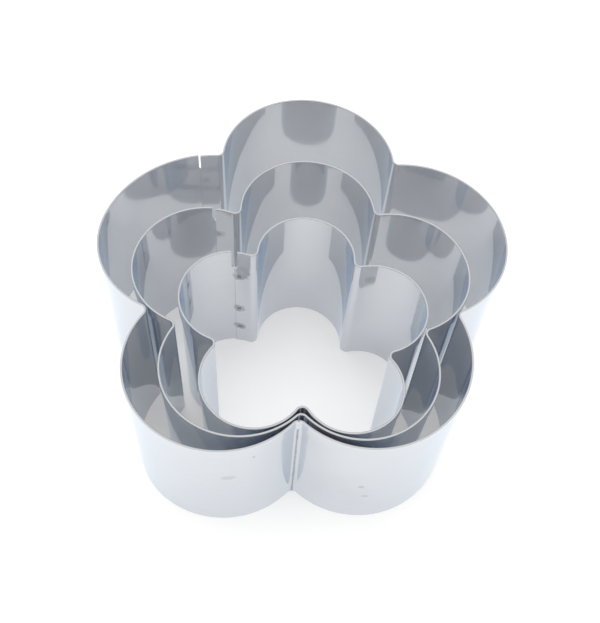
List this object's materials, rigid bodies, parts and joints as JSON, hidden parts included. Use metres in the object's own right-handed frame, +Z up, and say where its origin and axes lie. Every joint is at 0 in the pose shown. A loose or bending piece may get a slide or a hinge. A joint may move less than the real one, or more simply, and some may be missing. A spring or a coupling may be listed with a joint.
{
  "type": "nested flower cookie cutter set",
  "caption": "Nested open flower cutters of folded-rim steel strip with raw lower cutting edges and lapped, spot-welded seams.",
  "frame": {"origin": "centre of the large cutter's outline, on the surface that the set stands on", "axes": "+Z up, from the raw cutting edges to the folded rims; +Y towards the large cutter's back petal, and -Y towards the valley that the smaller cutters are pushed against"},
  "size_m": [0.0984, 0.102, 0.04],
  "materials": {
    "stainless_strip": "bright rolled stainless steel, faint vertical streaks",
    "spot_weld": "dull, slightly heat-tinted resistance weld marks"
  },
  "bodies": {
    "large_cutter": {"large_cutter_strip": "stainless_strip", "large_seam_welds": "spot_weld"},
    "medium_cutter": {"medium_cutter_strip": "stainless_strip", "medium_seam_welds": "spot_weld"},
    "small_cutter": {"small_cutter_strip": "stainless_strip", "small_seam_welds": "spot_weld"}
  },
  "joints": [
    {"name": "medium_lift", "type": "slide", "parent": "large_cutter", "child": "medium_cutter", "axis": [0, 0, 1], "range_m": [0, 0.06]},
    {"name": "small_lift", "type": "slide", "parent": "large_cutter", "child": "small_cutter", "axis": [0, 0, 1], "range_m": [0, 0.06]}
  ]
}
